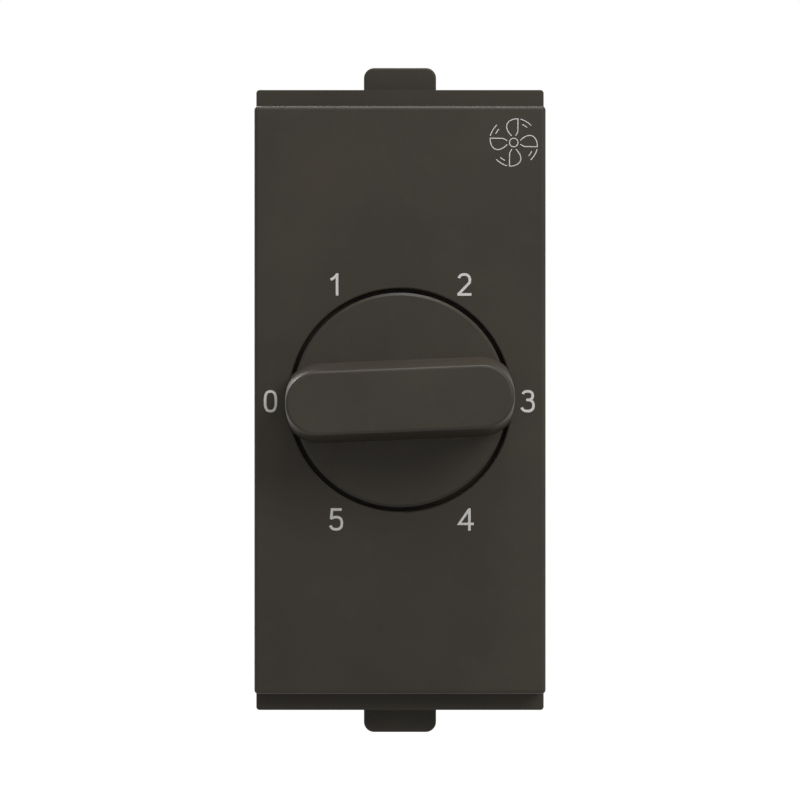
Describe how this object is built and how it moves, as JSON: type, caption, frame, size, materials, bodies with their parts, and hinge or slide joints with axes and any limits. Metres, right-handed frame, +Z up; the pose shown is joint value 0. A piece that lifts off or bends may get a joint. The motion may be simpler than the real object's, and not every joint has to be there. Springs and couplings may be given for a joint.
{
  "type": "fan speed control switch",
  "caption": "One-module rotary fan speed regulator with a bar-handled dial, snap-in tabs and rising clamp terminals.",
  "frame": {"origin": "on the dial's axis, in the plane of the flange's rear face, where it seats on the support frame", "axes": "+X to the right and +Z up as seen from the front, +Y back into the wall"},
  "size_m": [0.0222, 0.0482, 0.052],
  "materials": {
    "cover_plastic": "fine satin moulding, warm dark grey",
    "housing_plastic": "fine satin moulding, warm dark grey",
    "knob_plastic": "fine satin moulding, warm dark grey",
    "rotor_plastic": "natural acetal",
    "switch_plastic": "black moulding",
    "phenolic_board": "brown laminate",
    "glass_board": "green lacquered laminate",
    "contact_brass": "stamped brass",
    "spring_bronze": "rolled spring bronze",
    "spring_steel": "rolled strip",
    "zinc_steel": "zinc plated",
    "capacitor_case": "smooth moulded box, potted end",
    "green_lacquer": "baked lacquer",
    "blue_lacquer": "baked lacquer"
  },
  "bodies": {
    "case": {"front_cover": "cover_plastic", "rear_housing": "housing_plastic", "detent_spring": "spring_steel", "switch_frame": "switch_plastic", "switch_base": "phenolic_board", "speed_contacts": "contact_brass", "collector_ring": "contact_brass", "switch_rivets": "zinc_steel", "circuit_board": "glass_board", "board_screws": "zinc_steel", "capacitor_large": "capacitor_case", "capacitor_small": "capacitor_case", "surge_resistors": "green_lacquer", "bleed_resistors": "blue_lacquer", "terminal_plate_line": "contact_brass", "terminal_plate_load": "contact_brass"},
    "dial": {"knob": "knob_plastic", "knob_clip": "spring_steel", "rotor": "rotor_plastic", "wiper": "spring_bronze"},
    "screw_line": {"terminal_screw_line": "zinc_steel"},
    "clamp_line": {"terminal_cage_line": "zinc_steel"},
    "screw_load": {"terminal_screw_load": "zinc_steel"},
    "clamp_load": {"terminal_cage_load": "zinc_steel"}
  },
  "joints": [
    {"name": "speed_dial", "type": "hinge", "parent": "case", "child": "dial", "pos_m": [0, 0, 0], "axis": [0, 1, 0], "range_deg": [0, 300], "deforming": ["detent_spring"]},
    {"name": "screw_turn_line", "type": "hinge", "parent": "case", "child": "screw_line", "pos_m": [0.005, 0, -0.0152], "axis": [0, -1, 0], "range_deg": [0, 1920]},
    {"name": "clamp_rise_line", "type": "slide", "parent": "case", "child": "clamp_line", "axis": [0, 1, 0], "range_m": [0, 0.0032]},
    {"name": "screw_turn_load", "type": "hinge", "parent": "case", "child": "screw_load", "pos_m": [-0.005, 0, -0.0152], "axis": [0, -1, 0], "range_deg": [0, 1920]},
    {"name": "clamp_rise_load", "type": "slide", "parent": "case", "child": "clamp_load", "axis": [0, 1, 0], "range_m": [0, 0.0032]}
  ],
  "couplings": [
    {"joint": "screw_turn_line", "follows": "clamp_rise_line", "rad_per_m": 10471},
    {"joint": "screw_turn_load", "follows": "clamp_rise_load", "rad_per_m": 10471}
  ]
}
